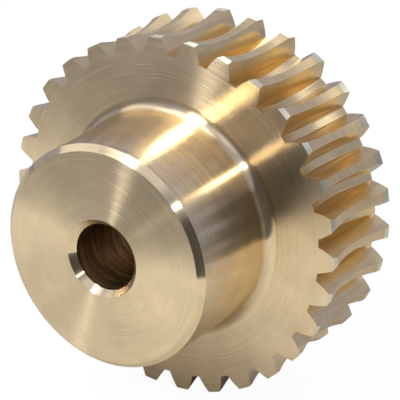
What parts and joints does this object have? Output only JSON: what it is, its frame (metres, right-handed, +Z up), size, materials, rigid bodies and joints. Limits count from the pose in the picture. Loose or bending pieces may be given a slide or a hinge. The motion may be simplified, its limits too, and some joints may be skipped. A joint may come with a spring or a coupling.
{
  "type": "worm gear",
  "caption": "Throated bronze worm gear with helical teeth across a wide rim, a flat web, a one-sided hub with a chamfered nose, and a plain through bore.",
  "frame": {"origin": "on the bore's axis, in the middle plane of the teeth", "axes": "bore along Y with the hub's nose towards -Y, +Z up, X across; the shaft in the bore holds the gear, with a tooth space straight down"},
  "size_m": [0.0704, 0.0432, 0.0704],
  "materials": {
    "bronze": "machined tin bronze, turned faces and hobbed teeth"
  },
  "bodies": {
    "root": {"worm_gear": "bronze"}
  },
  "joints": []
}
